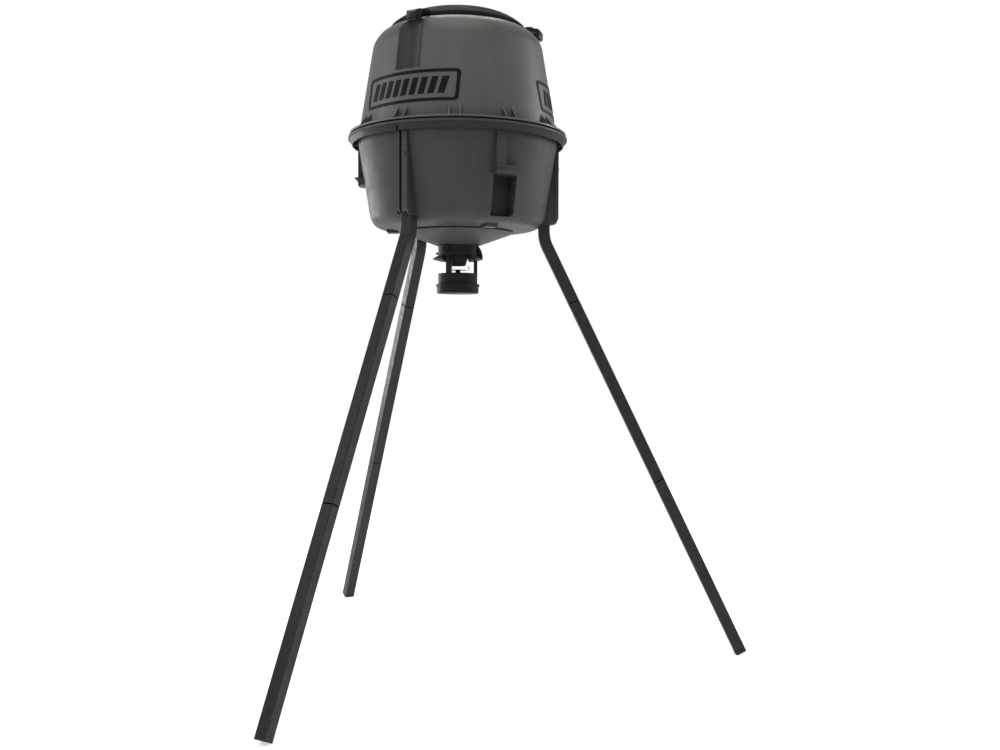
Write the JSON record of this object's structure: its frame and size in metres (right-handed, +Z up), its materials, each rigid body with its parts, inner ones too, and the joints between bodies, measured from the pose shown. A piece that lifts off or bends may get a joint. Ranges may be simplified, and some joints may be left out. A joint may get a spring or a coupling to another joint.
{
  "type": "spin cast feeder",
  "caption": "Tripod game feeder: round two-part hopper with latched lid on splayed sectional legs, and a quick-lock spinner unit hung below it.",
  "frame": {"origin": "on the ground, on the hopper's axis, midway between the three feet", "axes": "+Z up along the hopper's axis; +X level, towards leg 1; +Y level, between legs 1 and 2 on the side of leg 2"},
  "size_m": [1.2429, 1.4344, 1.792],
  "materials": {
    "lower_hopper_plastic": "fine moulded texture",
    "upper_hopper_plastic": "fine moulded texture",
    "lid_plastic": "fine moulded texture",
    "latch_plastic": "satin moulded",
    "badge_paint": "dull black paint",
    "kit_plastic": "satin moulded",
    "panel_plastic": "satin moulded",
    "leg_paint": "satin powder coat",
    "plug_plastic": "matte",
    "screw_steel": "black zinc",
    "spinner_sheet": "galvanised sheet",
    "motor_steel": "plated can",
    "shaft_steel": "ground",
    "seal_rubber": "matte",
    "button_rubber": "matte",
    "lens": "clear",
    "display_module": "grey-green liquid crystal",
    "board": "solder mask",
    "cell_wrap": "printed film",
    "contact_metal": "nickel plated"
  },
  "bodies": {
    "hopper": {"lower_hopper": "lower_hopper_plastic", "upper_hopper": "upper_hopper_plastic", "badges": "badge_paint", "rim_screws": "screw_steel", "funnel": "lower_hopper_plastic", "funnel_screws": "screw_steel", "quick_lock_collar": "kit_plastic", "collar_screws": "screw_steel", "drop_spout": "kit_plastic", "leg_bolts": "screw_steel", "leg_1_upper": "leg_paint", "leg_1_middle": "leg_paint", "leg_1_lower": "leg_paint", "leg_2_upper": "leg_paint", "leg_2_middle": "leg_paint", "leg_2_lower": "leg_paint", "leg_3_upper": "leg_paint", "leg_3_middle": "leg_paint", "leg_3_lower": "leg_paint", "foot_plug_1": "plug_plastic", "foot_plug_2": "plug_plastic", "foot_plug_3": "plug_plastic"},
    "lid": {"lid": "lid_plastic", "lid_seal": "seal_rubber", "latch_pins": "screw_steel"},
    "latch_1": {"lid_latch_1": "latch_plastic"},
    "latch_2": {"lid_latch_2": "latch_plastic"},
    "latch_3": {"lid_latch_3": "latch_plastic"},
    "feeder_kit": {"kit_frame": "kit_plastic", "detent_screw": "kit_plastic", "motor_housing": "kit_plastic", "cover_seal": "seal_rubber", "post_screws": "screw_steel", "motor_can": "motor_steel", "motor_end_bell": "kit_plastic", "motor_terminals": "contact_metal", "control_panel": "panel_plastic", "panel_screws": "screw_steel", "display_lens": "lens", "display": "display_module", "circuit_board": "board", "battery_holder": "kit_plastic", "battery_cells": "cell_wrap", "battery_contacts": "contact_metal"},
    "spinner": {"motor_shaft": "shaft_steel", "spinner_hub": "kit_plastic", "set_screw": "screw_steel", "spinner_plate": "spinner_sheet"},
    "cover": {"battery_cover": "kit_plastic"},
    "button_1_body": {"button_1": "button_rubber"},
    "button_2_body": {"button_2": "button_rubber"},
    "button_3_body": {"button_3": "button_rubber"}
  },
  "joints": [
    {"name": "lid_lift", "type": "slide", "parent": "hopper", "child": "lid", "axis": [0, 0, 1], "range_m": [0, 0.25]},
    {"name": "latch_1_swing", "type": "hinge", "parent": "lid", "child": "latch_1", "pos_m": [0.203, 0, 1.7515], "axis": [0, -1, 0], "range_deg": [0, 105]},
    {"name": "latch_2_swing", "type": "hinge", "parent": "lid", "child": "latch_2", "pos_m": [-0.1015, 0.1758, 1.7515], "axis": [0.866, 0.5, 0], "range_deg": [0, 105]},
    {"name": "latch_3_swing", "type": "hinge", "parent": "lid", "child": "latch_3", "pos_m": [-0.1015, -0.1758, 1.7515], "axis": [-0.866, 0.5, 0], "range_deg": [0, 105]},
    {"name": "kit_twist", "type": "hinge", "parent": "hopper", "child": "feeder_kit", "pos_m": [0, 0, 1.132], "axis": [0, 0, 1], "range_deg": [0, 40]},
    {"name": "spinner_spin", "type": "hinge", "parent": "feeder_kit", "child": "spinner", "pos_m": [0, 0, 1.085], "axis": [0, 0, 1], "continuous": true},
    {"name": "cover_drop", "type": "slide", "parent": "feeder_kit", "child": "cover", "axis": [0, 0, -1], "range_m": [0, 0.08]},
    {"name": "button_1_press", "type": "slide", "parent": "feeder_kit", "child": "button_1_body", "axis": [0, 0, 1], "range_m": [0, 0.001], "stiffness_N_per_m": 400, "springref_m": -0.002},
    {"name": "button_2_press", "type": "slide", "parent": "feeder_kit", "child": "button_2_body", "axis": [0, 0, 1], "range_m": [0, 0.001], "stiffness_N_per_m": 400, "springref_m": -0.002},
    {"name": "button_3_press", "type": "slide", "parent": "feeder_kit", "child": "button_3_body", "axis": [0, 0, 1], "range_m": [0, 0.001], "stiffness_N_per_m": 400, "springref_m": -0.002}
  ]
}
